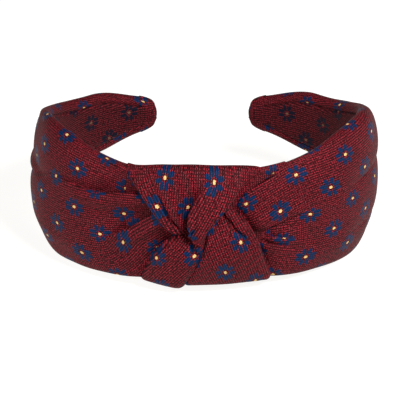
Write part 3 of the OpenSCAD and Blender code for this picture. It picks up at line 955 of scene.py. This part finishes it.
def stitches(left):
    """The slip stitches that hold the lining's two edges: short threads, thin at their ends."""
    verts, faces = [], []
    side = -1 if left else 1
    turn = 2 * math.pi * np.arange(STITCH_SIDES) / STITCH_SIDES
    around = range(STITCH_SIDES)
    for s in np.arange(4, S_TIP - 12, STITCH_PITCH):
        for edge in (-1, 1):
            base = len(verts)
            for f in np.linspace(0, 1, STITCH_RINGS):
                ring_s = s + (f - 0.5) * STITCH_LONG
                ring_z = MID_Z + edge * (half_width(ring_s) - STITCH_INSET)
                lift = STITCH_O - 0.16 * math.sin(math.pi * f)
                r = STITCH_R * max(math.sin(math.pi * f), 0.35)
                ring = place(side * ring_s, lift + r * np.cos(turn), ring_z + r * np.sin(turn)) * MM
                verts += ring.tolist()
            for k in range(STITCH_RINGS - 1):
                start = base + STITCH_SIDES * k
                after = start + STITCH_SIDES
                faces += [(start + a, start + (a + 1) % STITCH_SIDES,
                           after + (a + 1) % STITCH_SIDES, after + a) for a in around]
            faces.append(tuple(base + a for a in reversed(around)))
            faces.append(tuple(after + a for a in around))
    mesh = bpy.data.meshes.new(side_name("stitches", left))
    mesh.from_pydata(verts, [], faces)
    return add_object(mesh, THREAD, flip=left)


# The tip wraps: how far they reach along the arm, over its edges and past its end, and half their depth
WRAP_LONG = 7.0
WRAP_OVER = 0.25
WRAP_PAST = 0.7
WRAP_DEEP = 3.283
WRAP_TURNS = 72
WRAP_ROWS = 26


def closing(k, start, end_share):
    """1 up to the share start of the wrap's length, then falling on a round to end_share at its end."""
    left_over = np.sqrt(np.maximum(1 - np.clip((k - start) / (1 - start), 0, 1) ** 2, 0))
    return end_share + (1 - end_share) * left_over


def tip_wrap(left):
    """The cloth folded round the end of the arm: rings that close at the tip. The panel's print goes on."""
    k, a = np.meshgrid(np.linspace(0, 1, WRAP_ROWS),
                       np.linspace(0, 2 * math.pi, WRAP_TURNS, endpoint=False), indexing="ij")
    s = S_TIP - WRAP_LONG + (WRAP_LONG + WRAP_PAST) * k
    on_arm = np.minimum(s, S_TIP)
    half = half_width(on_arm) * tip_round(on_arm) + WRAP_OVER
    c, n = np.cos(a), np.sin(a)
    o = np.sign(c) * np.abs(c) ** 0.75 * WRAP_DEEP * closing(k, 0.6, 0.12)
    z = MID_Z + np.sign(n) * np.abs(n) ** 0.8 * half * closing(k, 0.75, 0.25)
    p = place(-s if left else s, o, z) * MM
    verts = np.vstack([p.reshape(-1, 3), p[-1].mean(0), p[0].mean(0)])
    tip_vert, inner_vert = len(verts) - 2, len(verts) - 1
    sides = [(j, (j + 1) % WRAP_TURNS) for j in range(WRAP_TURNS)]
    last = (WRAP_ROWS - 1) * WRAP_TURNS
    faces = [(row + j, row + b, row + WRAP_TURNS + b, row + WRAP_TURNS + j)
             for row in range(0, last, WRAP_TURNS) for j, b in sides]
    faces += [(last + j, last + b, tip_vert) for j, b in sides]
    faces += [(b, j, inner_vert) for j, b in sides]
    mesh = bpy.data.meshes.new(side_name("tip_cloth", left))
    mesh.from_pydata(verts.tolist(), [], faces)
    w = PANEL.w_of(on_arm, z)
    if left:
        uv = printed(-s, w, 0, 0, LEFT_FLOWER)
    else:
        uv = printed(s, w, 0, right_rise(s, w), RIGHT_FLOWER)
    set_cloth_uv(mesh, np.vstack([uv.reshape(-1, 2), uv[-1].mean(0), uv[0].mean(0)]))
    mesh.polygons.foreach_set("use_smooth", np.ones(len(mesh.polygons), bool))
    return add_object(mesh, COVER_CLOTH, flip=left)


# ---------------------------------------------------------------- assembly
# A length on each side of the flex place; blend_arm works out the unused ends of a blend from it
BLEND_REACH = 26


def blend_arm(obj, left):
    """Bakes a piece's placement into its mesh. The ends of the flex place are worked out, but no blend from
    the crown to the arm is made.
    """
    side = -1 if left else 1
    start, end = (place(side * (S_FLEX + step), 0, MID_Z) * MM for step in (-BLEND_REACH, BLEND_REACH))
    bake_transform(obj)


cover_l, cover_r = left_cover(), right_cover()
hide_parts("cover_left_crown", "cover_left_arm")
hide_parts("cover_right_crown", "cover_right_arm")
for obj, left in ((cover_l, True), (cover_r, False)):
    blend_arm(obj, left)

under = sleeve()
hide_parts("crown_sleeve")
knot_over, knot_under = over_strand(), under_strand()
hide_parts("knot_over_strand")
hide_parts("knot_under_strand")
for obj in (under, knot_over, knot_under):
    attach(obj, "crown")

for left in (True, False):
    arm = "left_arm" if left else "right_arm"
    half_lining, pad, threads, tip = lining(left), padding(left), stitches(left), tip_wrap(left)
    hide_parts("lining_crown", "lining_" + arm)
    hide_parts(side_name("padding", left) + "_crown", side_name("padding", left) + "_arm")
    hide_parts("lining_stitches_crown", "lining_stitches_" + arm)
    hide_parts(side_name("tip_wrap", left))
    for piece, slot in ((half_lining, "lining_fabric"), (pad, "padding"), (threads, "thread")):
        blend_arm(piece, left)
    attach(tip, arm)

for name in ("hoop_crown", "hoop_left_arm", "hoop_right_arm"):
    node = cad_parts[name]
    for slot in node.material_slots:
        slot.material = PLASTIC

# ---------------------------------------------------------------- floor, light and camera
FLOOR_HALF = 3.0


def floor():
    """A pale floor that is nearly as bright as its surroundings."""
    corners = [(x * FLOOR_HALF, y * FLOOR_HALF, 0) for x, y in ((-1, -1), (1, -1), (1, 1), (-1, 1))]
    mesh = bpy.data.meshes.new("floor")
    mesh.from_pydata(corners, [], [(0, 1, 2, 3)])
    material, _, shader = new_material("floor")
    shader.inputs["Base Color"].default_value = (0.2, 0.2, 0.198, 1)
    shader.inputs["Roughness"].default_value = 0.7
    shader.inputs["Emission Color"].default_value = (1.0, 0.99, 0.97, 1)
    shader.inputs["Emission Strength"].default_value = 0.9
    obj = add_object(mesh, material)


def area_light(name, place_m, size, power):
    """A square light, in metres and watts, that points at the origin."""
    light = bpy.data.lights.new(name, "AREA")
    light.size = size
    light.energy = power
    obj = bpy.data.objects.new(name, light)
    bpy.context.scene.collection.objects.link(obj)
    obj.location = place_m
    aim = -np.array(place_m)
    yaw = math.atan2(-aim[0], aim[1])
    pitch = math.atan2(math.hypot(aim[0], aim[1]), -aim[2])
    obj.rotation_euler = (pitch, 0, yaw)


def camera():
    """A long lens in front of the knot, tilted down."""
    tilt, yaw = 0.451, -0.012
    data = bpy.data.cameras.new("camera")
    data.lens = 223.4
    data.sensor_width = 36.0
    obj = bpy.data.objects.new("camera", data)
    bpy.context.scene.collection.objects.link(obj)
    obj.location = (-0.01046, -1.0108, 0.5025)
    obj.rotation_euler = (math.pi / 2 - tilt, 0, yaw)
    bpy.context.scene.camera = obj


floor()
area_light("left", (-1.1, -0.8, 0.4), 0.7, 17)
area_light("key", (0.26, -0.42, 0.52), 0.2, 8.0)
area_light("right", (1.2, -0.2, 0.6), 0.7, 7)
camera()
world = bpy.context.scene.world or bpy.data.worlds.new("world")
bpy.context.scene.world = world
world.use_nodes = True
world.node_tree.nodes["Background"].inputs["Color"].default_value = (1, 1, 1, 1)
world.node_tree.nodes["Background"].inputs["Strength"].default_value = 0.08
bpy.context.scene.view_settings.view_transform = "Standard"
